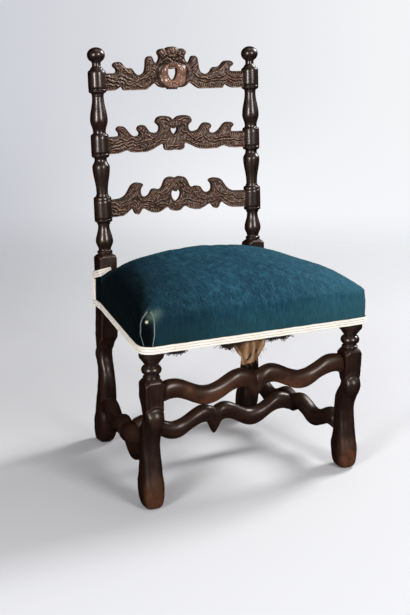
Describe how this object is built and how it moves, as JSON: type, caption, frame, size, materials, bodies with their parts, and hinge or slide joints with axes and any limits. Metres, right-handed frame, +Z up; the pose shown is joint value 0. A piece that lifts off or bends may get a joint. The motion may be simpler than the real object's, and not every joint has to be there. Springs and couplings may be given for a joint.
{
  "type": "upholstered side chair",
  "caption": "Side chair with a ladder back of carved, pierced slats between turned posts, scrolled legs, wavy stretchers and a crowned velvet seat edged with braid.",
  "frame": {"origin": "on the floor under the middle of the chair's bounding box", "axes": "+Z up, the chair faces -Y, +X is to the right of someone who looks at its front"},
  "size_m": [0.5786, 0.4866, 0.9824],
  "materials": {
    "walnut": "dark waxed walnut, satin, worn on the front stretcher and the feet",
    "velvet": "deep teal blue velvet",
    "gimp": "ivory corded braid",
    "jute": "aged hessian and webbing",
    "hair": "dark horsehair stuffing",
    "tack_steel": "dull tack heads"
  },
  "bodies": {
    "root": {"left_back_post": "walnut", "right_back_post": "walnut", "crest_slat": "walnut", "middle_slat": "walnut", "lower_slat": "walnut", "left_front_leg": "walnut", "right_front_leg": "walnut", "front_stretcher": "walnut", "left_side_stretcher": "walnut", "right_side_stretcher": "walnut", "cross_stretcher": "walnut", "front_seat_rail": "walnut", "back_seat_rail": "walnut", "left_seat_rail": "walnut", "right_seat_rail": "walnut", "seat_webbing": "jute", "webbing_tacks": "tack_steel", "seat_hessian": "jute", "stuffing_pad": "hair", "velvet_cover": "velvet", "gimp_seat_run": "gimp", "gimp_back_run": "gimp", "gimp_left_post": "gimp", "gimp_right_post": "gimp", "torn_hessian": "jute", "hair_scraps": "hair", "flap_tacks": "tack_steel", "slat_pegs": "walnut", "stretcher_pegs": "walnut", "rail_pegs": "walnut"}
  },
  "joints": []
}
